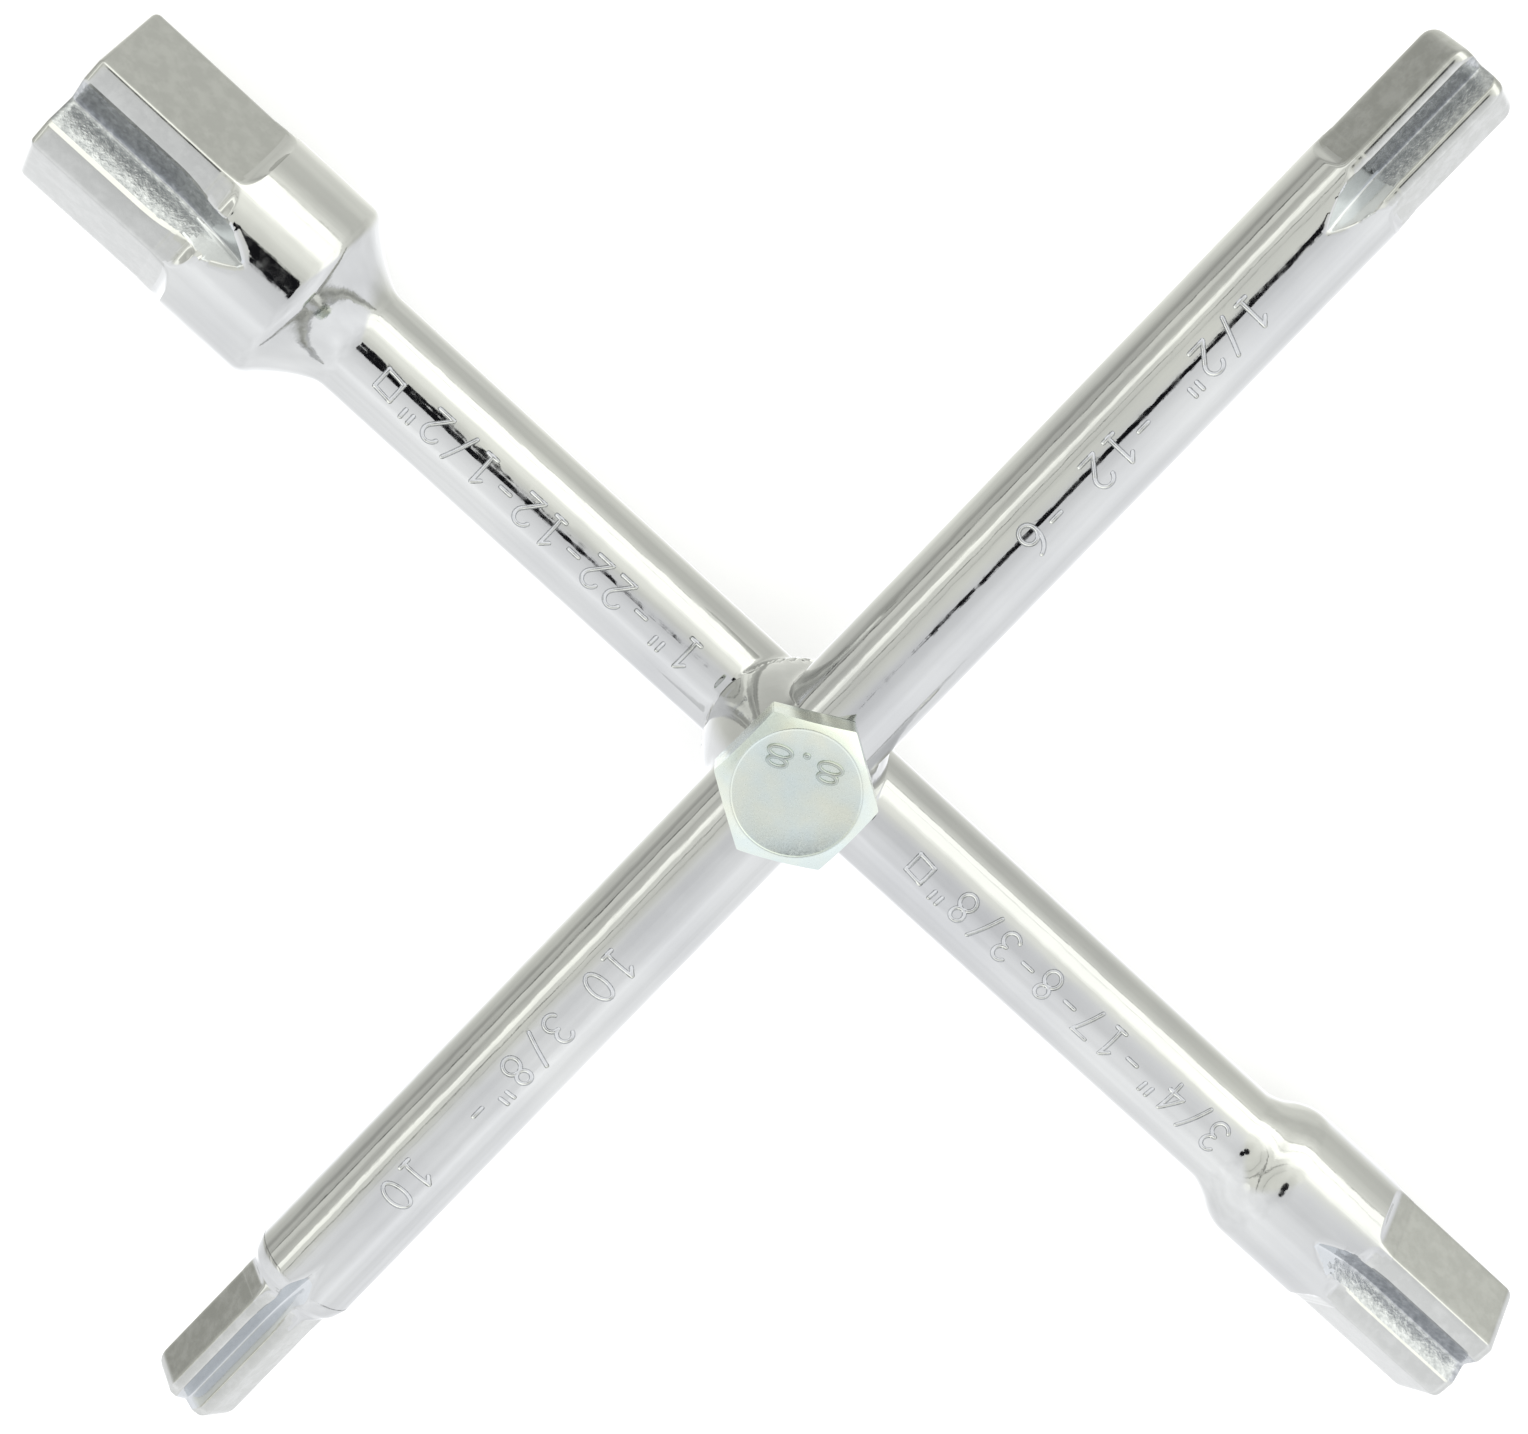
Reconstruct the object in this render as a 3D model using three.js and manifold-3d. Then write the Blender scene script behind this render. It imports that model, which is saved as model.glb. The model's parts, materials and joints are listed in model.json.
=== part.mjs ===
// Folding four-way step key for radiator unions and valves: two chromed round bars, crossed and
// pinned together by one M10 bolt. Each of the four ends is a hexagon of its own size. The bolt
// is screwed into the rear bar's eye, and the front bar's eye turns under its head.
//
// Millimetres, +Z up. The origin is the centre of the bolt's threaded end face, and +Z runs up
// the bolt to its head. The rear bar lies along X (22 mm hexagon at +X, 17 mm at -X), and the
// front bar crosses above it along Y (10 mm hexagon at +Y, 12 mm at -Y).

import * as THREE from 'three';
import { mergeVertices } from 'three/addons/utils/BufferGeometryUtils.js';
import Module from 'manifold-3d';

const wasm = await Module();
wasm.setup();

const deg = THREE.MathUtils.degToRad;

// ---- Driving dimensions ----------------------------------------------------------------------

const BAR_RADIUS = 7;

// The pivot: an M10 x 30 hexagon bolt. The hole in the front eye is a running fit on its shank,
// and the hole in the rear eye holds its thread.
const BOLT_RADIUS = 5;
const BOLT_LENGTH = 30;
const BOLT_TIP_CHAMFER = 0.9;
const HEAD_ACROSS_FLATS = 17;
const HEAD_HEIGHT = 6.4;
const HEAD_CLOCKING = -1.5;
const HEAD_TOP_DIAMETER_SHARE = 0.95;
const HEAD_CHAMFER_ANGLE = 30;
const PIVOT_HOLE_RADIUS = 5.25;
const THREAD_HOLE_RADIUS = 5.1;

// Gaps between faces that are clamped together.
const SEAT_GAP = 0.1;
const EYE_GAP = 0.2;

// The eye in the middle of each bar: a round boss whose sides dome over from the mating face to
// its seat.
const EYE_RADIUS = 11.4;
const EYE_SEAT_RADIUS = 6.3;
const EYE_DOME_POWER = 1.5;
const EYE_HEIGHT = 2 * BAR_RADIUS;
const EYE_FACING_RADIUS = 12.5;
const SEAT_FACING_RADIUS = 10.6;

// Levels along the bolt.
const SEAT_Z = BOLT_LENGTH;
const MATING_Z = SEAT_Z - EYE_HEIGHT;

// The four arms, each measured from the pivot. The head is the round part that the flats are
// milled into, and roll turns the hexagon about the arm's outward direction.
const ARM_22 = {
  length: 114, headRadius: 12.83, shoulderStart: 71, shoulderEnd: 80, acrossFlats: 22,
  hexLength: 20.4, roll: -3, endChamfer: 0.8, grooveFloor: 7.8, grooveTip: 27.4, grooveRise: 9,
  socket: { size: 12.8, depth: 16, pilotRadius: 6.2, pilotDepth: 19 },
};
const ARM_17 = {
  length: 117, headRadius: 9.82, shoulderStart: 75, shoulderEnd: 83, acrossFlats: 17,
  hexLength: 20.2, roll: 7, endChamfer: 1, grooveFloor: 6.3, grooveTip: 27.2, grooveRise: 8,
  socket: { size: 9.6, depth: 12, pilotRadius: 4.6, pilotDepth: 15 },
};
const ARM_12 = {
  length: 112, headRadius: BAR_RADIUS, acrossFlats: 12, hexLength: 18, roll: 0, endChamfer: 1.5,
  grooveFloor: 3.9, grooveTip: 25, grooveRise: 7,
  endHole: { radius: 2.5, depth: 14 },
};
const ARM_10 = {
  length: 110, headRadius: 5.77, shoulderStart: 87.6, shoulderEnd: 90.2, acrossFlats: 10,
  hexLength: 19, roll: 0, endChamfer: 1.6, grooveFloor: 3.4, grooveTip: 25, grooveRise: 6,
};

const DRILL_POINT_ANGLE = 59;
const BAR_SIDES = 48;
const EYE_SIDES = 48;
const BOLT_SIDES = 48;
const SHOULDER_STEPS = 8;
const EYE_SIDE_STEPS = 8;

// ---- Materials -------------------------------------------------------------------------------

const chrome = () => new THREE.MeshStandardMaterial({ color: 0xd9dcdc, roughness: 0.14, metalness: 1 });
const zinc = () => new THREE.MeshStandardMaterial({ color: 0xccd6cc, roughness: 0.34, metalness: 1 });

// ---- Solids ----------------------------------------------------------------------------------

// A closed geometry as a solid that can be joined and cut.
function solid(geometry) {
  geometry.deleteAttribute('normal');
  geometry.deleteAttribute('uv');
  const merged = mergeVertices(geometry, 1e-4);
  const index = merged.index.array;
  const triangles = [];
  for (let i = 0; i < index.length; i += 3) {
    const [a, b, c] = index.slice(i, i + 3);
    if (a !== b && b !== c && c !== a) triangles.push(a, b, c);
  }
  const vertProperties = merged.attributes.position.array;
  const triVerts = new Uint32Array(triangles);
  return new wasm.Manifold(new wasm.Mesh({ numProp: 3, vertProperties, triVerts }));
}

// A named mesh from a finished solid.
function part(name, shape, material) {
  const { vertProperties, triVerts } = shape.getMesh();
  const geometry = new THREE.BufferGeometry();
  geometry.setAttribute('position', new THREE.BufferAttribute(vertProperties, 3));
  geometry.setIndex(new THREE.BufferAttribute(triVerts, 1));
  geometry.computeVertexNormals();
  const mesh = new THREE.Mesh(geometry, material);
  mesh.name = name;
  return mesh;
}

// A turned solid about the Z axis, from a profile of [radius, height] points.
function turnedAboutZ(profile, sides) {
  const points = profile.map(([radius, height]) => new THREE.Vector2(radius, height));
  return solid(new THREE.LatheGeometry(points, sides).rotateX(Math.PI / 2));
}

// A turned solid about the X axis, from a profile of [radius, distance along X] points.
function turnedAboutX(profile, sides) {
  const points = profile.map(([radius, x]) => new THREE.Vector2(radius, x));
  return solid(new THREE.LatheGeometry(points, sides).rotateZ(-Math.PI / 2));
}

// A plain cylinder about Z between two heights.
function cylinder(radius, low, high, sides) {
  return turnedAboutZ([[0, low], [radius, low], [radius, high], [0, high]], sides);
}

// A hexagonal prism about Z, with one pair of flats facing along X before it is turned.
function hexagonAboutZ(acrossFlats, low, high, clocking) {
  const corner = acrossFlats / Math.sqrt(3);
  const prism = new THREE.CylinderGeometry(corner, corner, high - low, 6);
  prism.rotateX(Math.PI / 2).rotateZ(deg(clocking)).translate(0, 0, (low + high) / 2);
  return solid(prism);
}

// ---- Bars ------------------------------------------------------------------------------------

// Half a bar's outline, from the pivot out to the middle of the end face.
function armOutline(arm) {
  const points = [];
  const shouldered = arm.headRadius !== BAR_RADIUS;
  for (let i = 0; shouldered && i <= SHOULDER_STEPS; i++) {
    const share = i / SHOULDER_STEPS;
    const eased = share * share * (3 - 2 * share);
    const x = arm.shoulderStart + share * (arm.shoulderEnd - arm.shoulderStart);
    points.push([BAR_RADIUS + eased * (arm.headRadius - BAR_RADIUS), x]);
  }
  points.push([arm.headRadius, arm.length - arm.endChamfer]);
  points.push([arm.headRadius - arm.endChamfer, arm.length]);
  points.push([0, arm.length]);
  return points;
}

// What the milling cutter takes off to leave the hexagon on the end of an arm along +X.
function hexMilling(arm) {
  const start = arm.length - arm.hexLength;
  const end = arm.length + 1;
  const clear = arm.headRadius + 1;
  const ring = turnedAboutX([[0, start], [clear, start], [clear, end], [0, end]], BAR_SIDES);
  const corner = arm.acrossFlats / Math.sqrt(3);
  const prism = new THREE.CylinderGeometry(corner, corner, 2 * arm.hexLength + 2, 6);
  prism.rotateY(Math.PI / 2).rotateZ(-Math.PI / 2).rotateX(deg(arm.roll));
  prism.translate(arm.length, 0, 0);
  return ring.subtract(solid(prism));
}

// A right-angled V groove along X above the axis: level to the end, and rising to a point behind.
function groove(arm, side) {
  const section = arm.headRadius;
  const half = section / Math.SQRT2;
  const tip = arm.length - arm.grooveTip;
  const knee = tip + arm.grooveRise;
  const level = new THREE.BoxGeometry(arm.length + 2 - knee, section, section);
  level.rotateX(Math.PI / 4).translate((arm.length + 2 + knee) / 2, 0, arm.grooveFloor + half);
  const surface = arm.shoulderEnd > tip ? BAR_RADIUS : arm.headRadius;
  const slope = Math.atan2(surface - arm.grooveFloor, arm.grooveRise);
  const run = 2 * Math.hypot(arm.grooveRise, surface - arm.grooveFloor);
  const ramp = new THREE.BoxGeometry(run, section, section);
  ramp.rotateX(Math.PI / 4).translate(-run / 2, 0, half);
  ramp.rotateY(slope).translate(knee, 0, arm.grooveFloor);
  const cut = solid(level).add(solid(ramp));
  return cut.rotate([arm.roll + (side > 0 ? 0 : 180), 0, 0]);
}

// The square drive socket and the pilot drilling behind it.
function squareSocket(arm) {
  const { size, depth, pilotRadius, pilotDepth } = arm.socket;
  const square = new THREE.BoxGeometry(depth + 1, size, size);
  square.translate(arm.length + (1 - depth) / 2, 0, 0).rotateX(deg(arm.roll));
  return solid(square).add(drilling(arm, pilotRadius, pilotDepth));
}

// A drilled hole in the end face, with the cone that the drill leaves.
function drilling(arm, radius, depth) {
  const floor = arm.length - depth;
  const point = floor - radius / Math.tan(deg(DRILL_POINT_ANGLE));
  const mouth = arm.length + 1;
  return turnedAboutX([[0, point], [radius, floor], [radius, mouth], [0, mouth]], BAR_SIDES);
}

// Everything that is cut from one end, for an arm along +X.
function endCuts(arm) {
  let cuts = hexMilling(arm).add(groove(arm, 1)).add(groove(arm, -1));
  if (arm.socket) cuts = cuts.add(squareSocket(arm));
  if (arm.endHole) cuts = cuts.add(drilling(arm, arm.endHole.radius, arm.endHole.depth));
  return cuts;
}

// The round boss, standing with its mating face on z = 0.
function eyeBoss() {
  const profile = [[0, 0]];
  for (let i = 0; i <= EYE_SIDE_STEPS; i++) {
    const share = i / EYE_SIDE_STEPS;
    const width = 1 - share ** EYE_DOME_POWER;
    profile.push([EYE_SEAT_RADIUS + width * (EYE_RADIUS - EYE_SEAT_RADIUS), share * EYE_HEIGHT]);
  }
  profile.push([0, EYE_HEIGHT]);
  return turnedAboutZ(profile, EYE_SIDES);
}

// A whole bar along X with its axis at z = BAR_RADIUS and its mating face on z = 0.
function bar(forward, backward, holeRadius) {
  const outline = armOutline(backward).map(([radius, x]) => [radius, -x]).reverse();
  const blank = turnedAboutX([...outline, ...armOutline(forward)], BAR_SIDES);
  const turned = new THREE.Matrix4().makeRotationZ(Math.PI);
  const backCuts = endCuts(backward).transform(turned.elements);
  const milled = blank.subtract(endCuts(forward)).subtract(backCuts);
  const clear = EYE_HEIGHT;
  return milled
    .translate([0, 0, BAR_RADIUS])
    .add(eyeBoss())
    .subtract(cylinder(holeRadius, -clear, EYE_HEIGHT + clear, EYE_SIDES))
    .subtract(cylinder(EYE_FACING_RADIUS, -clear, EYE_GAP / 2, EYE_SIDES))
    .subtract(cylinder(SEAT_FACING_RADIUS, EYE_HEIGHT - SEAT_GAP, EYE_HEIGHT + clear, EYE_SIDES));
}

function frontBar() {
  return bar(ARM_12, ARM_10, PIVOT_HOLE_RADIUS).rotate([0, 0, -90]).translate([0, 0, MATING_Z]);
}

function rearBar() {
  return bar(ARM_22, ARM_17, THREAD_HOLE_RADIUS).rotate([180, 0, 0]).translate([0, 0, MATING_Z]);
}

// ---- Pivot -----------------------------------------------------------------------------------

// The turned shape that chamfers the corners of the bolt's head, between two heights.
function chamferedBlank(low, high) {
  const corner = HEAD_ACROSS_FLATS / Math.sqrt(3);
  const face = HEAD_ACROSS_FLATS * HEAD_TOP_DIAMETER_SHARE / 2;
  const clear = corner + 1;
  const drop = (clear - face) * Math.tan(deg(HEAD_CHAMFER_ANGLE));
  const profile = [[0, low], [clear, low], [clear, high - drop], [face, high], [0, high]];
  return turnedAboutZ(profile, BOLT_SIDES);
}

function pivotBolt() {
  const headTop = SEAT_Z + HEAD_HEIGHT;
  const head = hexagonAboutZ(HEAD_ACROSS_FLATS, SEAT_Z, headTop, HEAD_CLOCKING)
    .intersect(chamferedBlank(SEAT_Z, headTop));
  const shank = turnedAboutZ([
    [0, 0],
    [BOLT_RADIUS - BOLT_TIP_CHAMFER, 0],
    [BOLT_RADIUS, BOLT_TIP_CHAMFER],
    [BOLT_RADIUS, SEAT_Z + 1],
    [0, SEAT_Z + 1],
  ], BOLT_SIDES);
  return head.add(shank);
}

// ---- Assembly --------------------------------------------------------------------------------

const stepKey = new THREE.Group();
stepKey.add(
  part('rear_bar', rearBar(), chrome()),
  part('front_bar', frontBar(), chrome()),
  part('pivot_bolt', pivotBolt(), zinc()),
);

export default stepKey;
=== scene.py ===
"""The looks of a folding four-way step key: two chromed bars crossed on one bolt.

Shapes are worked out in millimetres and become metres when their meshes are made. A bar is
modelled along its own x axis with its axis at z = 0, and is then turned into its place.
"""

import json
import math

import bmesh
import bpy
import numpy as np
from mathutils import Matrix, Vector


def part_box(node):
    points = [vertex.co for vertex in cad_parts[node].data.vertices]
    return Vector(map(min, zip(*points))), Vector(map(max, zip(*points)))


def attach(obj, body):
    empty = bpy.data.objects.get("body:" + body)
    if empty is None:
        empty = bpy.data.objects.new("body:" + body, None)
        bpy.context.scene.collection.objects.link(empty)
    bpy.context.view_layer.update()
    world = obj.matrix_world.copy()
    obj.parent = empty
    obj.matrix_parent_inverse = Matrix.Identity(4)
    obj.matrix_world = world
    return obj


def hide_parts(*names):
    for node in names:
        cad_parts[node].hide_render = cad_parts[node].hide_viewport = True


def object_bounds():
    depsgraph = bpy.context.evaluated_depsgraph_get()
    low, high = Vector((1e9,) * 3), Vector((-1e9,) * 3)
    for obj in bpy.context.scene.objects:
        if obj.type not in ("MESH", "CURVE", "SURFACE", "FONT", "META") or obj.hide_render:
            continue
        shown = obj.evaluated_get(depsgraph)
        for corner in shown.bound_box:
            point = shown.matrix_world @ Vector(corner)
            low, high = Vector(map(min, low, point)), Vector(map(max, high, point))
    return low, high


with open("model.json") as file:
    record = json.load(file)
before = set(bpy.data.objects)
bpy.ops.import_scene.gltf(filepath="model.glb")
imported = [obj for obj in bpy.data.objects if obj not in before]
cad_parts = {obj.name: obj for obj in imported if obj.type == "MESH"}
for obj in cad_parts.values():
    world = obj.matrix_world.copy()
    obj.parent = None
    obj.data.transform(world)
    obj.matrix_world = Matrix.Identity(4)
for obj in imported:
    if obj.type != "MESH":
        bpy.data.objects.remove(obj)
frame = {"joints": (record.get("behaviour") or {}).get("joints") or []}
CAD_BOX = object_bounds()

MM = 0.001


def box_mm(node):
    """A CAD node's lowest and highest corners in millimetres."""
    low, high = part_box(node)
    return low / MM, high / MM


# ---- Driving dimensions, in millimetres and degrees ----------------------------------------

REAR_LOW, REAR_HIGH = box_mm("rear_bar")
FRONT_LOW, FRONT_HIGH = box_mm("front_bar")
BOLT_LOW, BOLT_HIGH = box_mm("pivot_bolt")
PIVOT_Z = frame["joints"][0]["pos_m"][2] / MM

BAR_RADIUS = 7
REAR_AXIS_Z = PIVOT_Z - BAR_RADIUS
FRONT_AXIS_Z = PIVOT_Z + BAR_RADIUS
SEAT_Z = PIVOT_Z + 2 * BAR_RADIUS
RUNNING_HOLE = 5.25
THREADED_HOLE = 5.1

# The eye domes over from its mating face to the seat, and its rim is slightly rounded.
EYE_REACH = 16
EYE_RADIUS = 11.4
EYE_SEAT_RADIUS = 6.3
EYE_DOME_POWER = 1.5
EYE_RIM = 0.5
EYE_FILLET = 0.6
MATING_GAP = 0.1
MATING_REACH = 12.5
SEAT_GAP = 0.05
SEAT_REACH = 9.2

# Each arm, measured out from the pivot. slopes are the (place, steepness) of its shoulder, which
# is scaled to end at the head radius. The hexagon starts at flat_start with a scallop of the
# cutter's radius, is turned by roll, and has sharper corners for a higher crispness. The groove
# starts at groove_tip, sinks over groove_sink and then runs level to the end. Its skin is smooth
# for the polished length and rough beyond. end_radius rounds the end's rim, and bore is the square
# socket (half its width and its depth) and the pilot drilling in the end face.
ARM_22 = dict(
    length=REAR_HIGH.x, head=12.83, flats=22, flat_start=93.6, roll=-3, cutter=2.1, crispness=140,
    slopes=[(70.8, 0), (72.4, 0.45), (78.4, 1), (79.5, 0.4), (80.4, 0)],
    groove_tip=86.6, groove_sink=13, groove_floor=7.8, polished=6.5, end_radius=0.9,
    bore=dict(half=6.4, depth=16, pilot=6.2, pilot_depth=19),
)
ARM_17 = dict(
    length=-REAR_LOW.x, head=9.82, flats=17, flat_start=96.8, roll=7, cutter=2.2, crispness=100,
    slopes=[(74.8, 0), (79, 1), (83.2, 0)],
    groove_tip=89.9, groove_sink=11, groove_floor=6.3, polished=4.2, end_radius=1.6,
    bore=dict(half=4.8, depth=12, pilot=4.6, pilot_depth=15),
)
ARM_12 = dict(
    length=-FRONT_LOW.y, head=BAR_RADIUS, flats=12, flat_start=94, roll=0, cutter=1.9, crispness=40,
    slopes=[],
    groove_tip=86.9, groove_sink=9, groove_floor=3.9, polished=8.5, end_radius=2,
    bore=dict(half=0, depth=0, pilot=2.5, pilot_depth=14),
)
ARM_10 = dict(
    length=FRONT_HIGH.y, head=5.77, flats=10, flat_start=91.4, roll=0, cutter=0.9, crispness=60,
    slopes=[(87.6, 0), (88, -0.35), (89.2, -0.5), (89.6, -1), (90.2, -0.9), (90.6, 0)],
    groove_tip=85, groove_sink=11, groove_floor=3.4, polished=30, end_radius=2.3,
    bore=None,
)

# The milled flats: the fine steps that the cutter leaves at their inner end, and the slight tilt
# of the ground between them.
CUTTER_STEPS = (0.9, 1.9)
CUTTER_STEP_HEIGHT = 0.035
CUTTER_STEP_LENGTH = 0.25
CUTTER_TILT = 0.06
RUN_OUT_STEEPNESS = 8

# The V groove: how soft its root is, how its edges meet the surface, and how narrow and wide the
# lines along its edges may run, in degrees from its root.
ROOT_SOFTNESS = 0.03
GROOVE_CRISPNESS = 200
EDGE_ANGLES = (2.5, 26)
HEXAGON_CORNER = 30

# Lines round a bar: a plain flat takes PLAIN lines, and a grooved one GROOVED in each quarter.
# Beside the eye they are spaced evenly, and they settle into an arm's own lines further out.
PLAIN = 16
GROOVED = 8
ROUND = 4 * PLAIN + 8 * GROOVED
GATHER = 0.9
EVEN_EDGE = 10
SETTLING_LENGTH = 30

# The lines that run into a bore's corners, and the angles of those corners.
BORE_CORNERS = (12, 52, 76, 116)
BORE_ANGLES = np.radians([-45, 45, 135, 225, 315, 405])
SQUARE_MOUTH = 0.5
DRILL_MOUTH = 0.35
DRILL_POINT = 59

# The material slots of a bar, and the bolt's second one. A face is milled where it lies at least
# MILLED_DEPTH inside the round body, and the forged skin starts along a ragged line.
POLISHED, FORGED, MILLED, ENGRAVED, SMOOTH = 0, 1, 2, 3, 4
RAISED = 1
MILLED_DEPTH = 0.06
RAGGED_SKIN = ((0.6, 31), (0.5, 83))


# ---- Numbers and curves ----------------------------------------------------------------------


def smooth(share):
    """An ease from 0 to 1."""
    share = np.clip(share, 0, 1)
    return share * share * (3 - 2 * share)


def gathered(count, pull=GATHER):
    """count + 1 places from 0 to 1, gathered towards both ends."""
    share = np.linspace(0, 1, count + 1)
    return share - pull * np.sin(2 * math.pi * share) / (2 * math.pi)


def steps(spans):
    """Places along a line, from (start, end, spacing) spans that follow each other."""
    places = [np.array([spans[0][0]], float)]
    for start, end, spacing in spans:
        count = max(1, round((end - start) / spacing))
        places.append(np.linspace(start, end, count + 1)[1:])
    return np.concatenate(places)


def from_flat(theta, roll):
    """An angle's distance from the middle of its nearest flat, in radians."""
    return (theta - math.radians(roll)) % math.radians(60) - math.radians(30)


def polygon_radius(phi, inner, crispness, sides=6):
    """The radius of a polygon with slightly rounded corners, phi away from a flat's middle."""
    turn = 2 * math.pi / sides
    terms = [np.maximum(np.cos(phi + k * turn), 1e-6) ** crispness for k in (-1, 0, 1)]
    return inner / sum(terms) ** (1 / crispness)


def blunt_min(a, b, crispness=140):
    """The smaller of two radii, a little less where they meet, as on a worn edge."""
    low = np.minimum(a, b)
    return low * (1 + (low / np.maximum(a, b)) ** crispness) ** (-1 / crispness)


# ---- Meshes ----------------------------------------------------------------------------------


def mesh_object(name, points, faces, materials, slots=None):
    """An object from millimetre points."""
    mesh = bpy.data.meshes.new(name)
    mesh.from_pydata((np.asarray(points) * MM).tolist(), [], faces)
    for material in materials:
        mesh.materials.append(material)
    if slots is not None:
        mesh.polygons.foreach_set("material_index", slots)
    mesh.update()
    piece = bpy.data.objects.new(name, mesh)
    bpy.context.scene.collection.objects.link(piece)
    return piece


def ringed(name, rings, materials, slots=None, looped=False):
    """A closed mesh over a stack of rings. A looped stack joins its last ring to its first, and
    any other is closed by a point in the middle of each end."""
    stack, count = rings.shape[:2]
    points = rings.reshape(-1, 3)
    joints = stack if looped else stack - 1
    along = np.arange(joints)[:, None] * count
    beyond = (np.arange(joints)[:, None] + 1) % stack * count
    here = np.arange(count)[None, :]
    after = (here + 1) % count
    quads = np.stack([along + here, along + after, beyond + after, beyond + here], -1)
    faces = quads.reshape(-1, 4).tolist()
    kinds = np.zeros((joints, count), int) if slots is None else slots
    kinds = kinds.ravel().tolist()
    if not looped:
        first, last = len(points), len(points) + 1
        points = np.concatenate([points, [rings[0].mean(0), rings[-1].mean(0)]])
        top = (stack - 1) * count
        faces += [[first, int(a), int(h)] for h, a in zip(here[0], after[0])]
        faces += [[last, int(top + h), int(top + a)] for h, a in zip(here[0], after[0])]
        kinds += [kinds[0]] * count + [kinds[-1]] * count
    return mesh_object(name, points, faces, materials, kinds)


def combine(piece, tool, operation):
    """Cuts tool out of piece, or joins it on, and deletes tool."""
    modifier = piece.modifiers.new("combine", "BOOLEAN")
    modifier.solver = "MANIFOLD"
    modifier.operation = operation
    modifier.object = tool
    evaluated = piece.evaluated_get(bpy.context.evaluated_depsgraph_get())
    mesh = bpy.data.meshes.new_from_object(evaluated)
    piece.modifiers.clear()
    piece.data = mesh
    bpy.data.objects.remove(tool)


def drop_slivers(piece):
    """Deletes all but the largest connected part of a mesh, as a cut can leave loose slivers."""
    mesh = bmesh.new()
    mesh.from_mesh(piece.data)
    seen = set()
    body = []
    for start in mesh.verts:
        if start in seen:
            continue
        seen.add(start)
        group = [start]
        for vertex in group:
            for edge in vertex.link_edges:
                other = edge.other_vert(vertex)
                if other not in seen:
                    seen.add(other)
                    group.append(other)
        body = max(body, group, key=len)
    kept = set(body)
    loose = [vertex for vertex in mesh.verts if vertex not in kept]
    bmesh.ops.delete(mesh, geom=loose, context="VERTS")
    mesh.to_mesh(piece.data)
    mesh.free()


def shade(piece, crease=35):
    """Smooth shading, broken where faces meet at more than the crease angle."""
    piece.data.shade_smooth()
    piece.data.set_sharp_from_angle(angle=math.radians(crease))


def settle(piece, place, body, slot, *nodes):
    """Puts a finished piece in its place, on its body, in the place of its CAD nodes."""
    piece.data.transform(place)
    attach(piece, body)
    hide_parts(*nodes)


def circle_rings(angle, profile):
    """Rings of plain circles about z at given angles, from (radius, height) points."""
    return np.array([
        np.stack([r * np.cos(angle), r * np.sin(angle), np.full(len(angle), float(z))], -1)
        for r, z in profile
    ])


# ---- One arm ---------------------------------------------------------------------------------


def body_radius(arm, x):
    """The round body's radius along an arm, from the bar through the shoulder to the head."""
    if not arm["slopes"]:
        return np.full_like(x, BAR_RADIUS)
    places, slopes = np.array(arm["slopes"], float).T
    fine = np.linspace(places[0], places[-1], 400)
    rise = np.cumsum(np.interp(fine, places, slopes))
    rise *= (arm["head"] - BAR_RADIUS) / rise[-1]
    return BAR_RADIUS + np.interp(x, fine, rise)


def flat_height(arm, x):
    """How far the milled flats lie from the axis, with the scallop and two fine steps that the
    cutter leaves at their inner end."""
    start, cutter = arm["flat_start"], arm["cutter"]
    before = np.maximum(start - x, 0)
    scallop = cutter - np.sqrt(np.maximum(cutter ** 2 - before ** 2, 0))
    beyond = RUN_OUT_STEEPNESS * np.maximum(before - cutter, 0)
    marks = sum(CUTTER_STEP_HEIGHT * smooth((start + at - x) / CUTTER_STEP_LENGTH)
                for at in CUTTER_STEPS)
    tilted = CUTTER_TILT * np.clip(start + CUTTER_STEPS[-1] - x, 0, CUTTER_STEPS[-1])
    return arm["flats"] / 2 + scallop + beyond + marks + tilted


def groove_height(arm, x):
    """How far the groove's root lies from the axis."""
    along = (x - arm["groove_tip"]) / arm["groove_sink"]
    depth = arm["head"] - arm["groove_floor"]
    if arm["groove_tip"] < arm["flat_start"] and arm["head"] < BAR_RADIUS:
        depth = BAR_RADIUS - arm["groove_floor"]
    sunk = 1 - (1 - np.clip(along, 0, 1)) ** 2
    return arm["groove_floor"] + depth * (1 - sunk) + np.maximum(-along, 0) * arm["groove_sink"]


def arm_radius(arm, x, theta, grooved=True):
    """The radius of an arm's surface, without the rounding of its end."""
    phi = from_flat(theta, arm["roll"])
    hexagon = polygon_radius(phi, flat_height(arm, x), arm["crispness"])
    radius = blunt_min(body_radius(arm, x), hexagon)
    if not grooved:
        return radius
    off = (theta - math.radians(arm["roll"])) % math.pi - math.pi / 2
    opening = np.cos(off) - np.sqrt(np.sin(off) ** 2 + ROOT_SOFTNESS ** 2) + ROOT_SOFTNESS
    cut = groove_height(arm, x) / np.maximum(opening, 0.02)
    return blunt_min(radius, cut, GROOVE_CRISPNESS)


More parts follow.
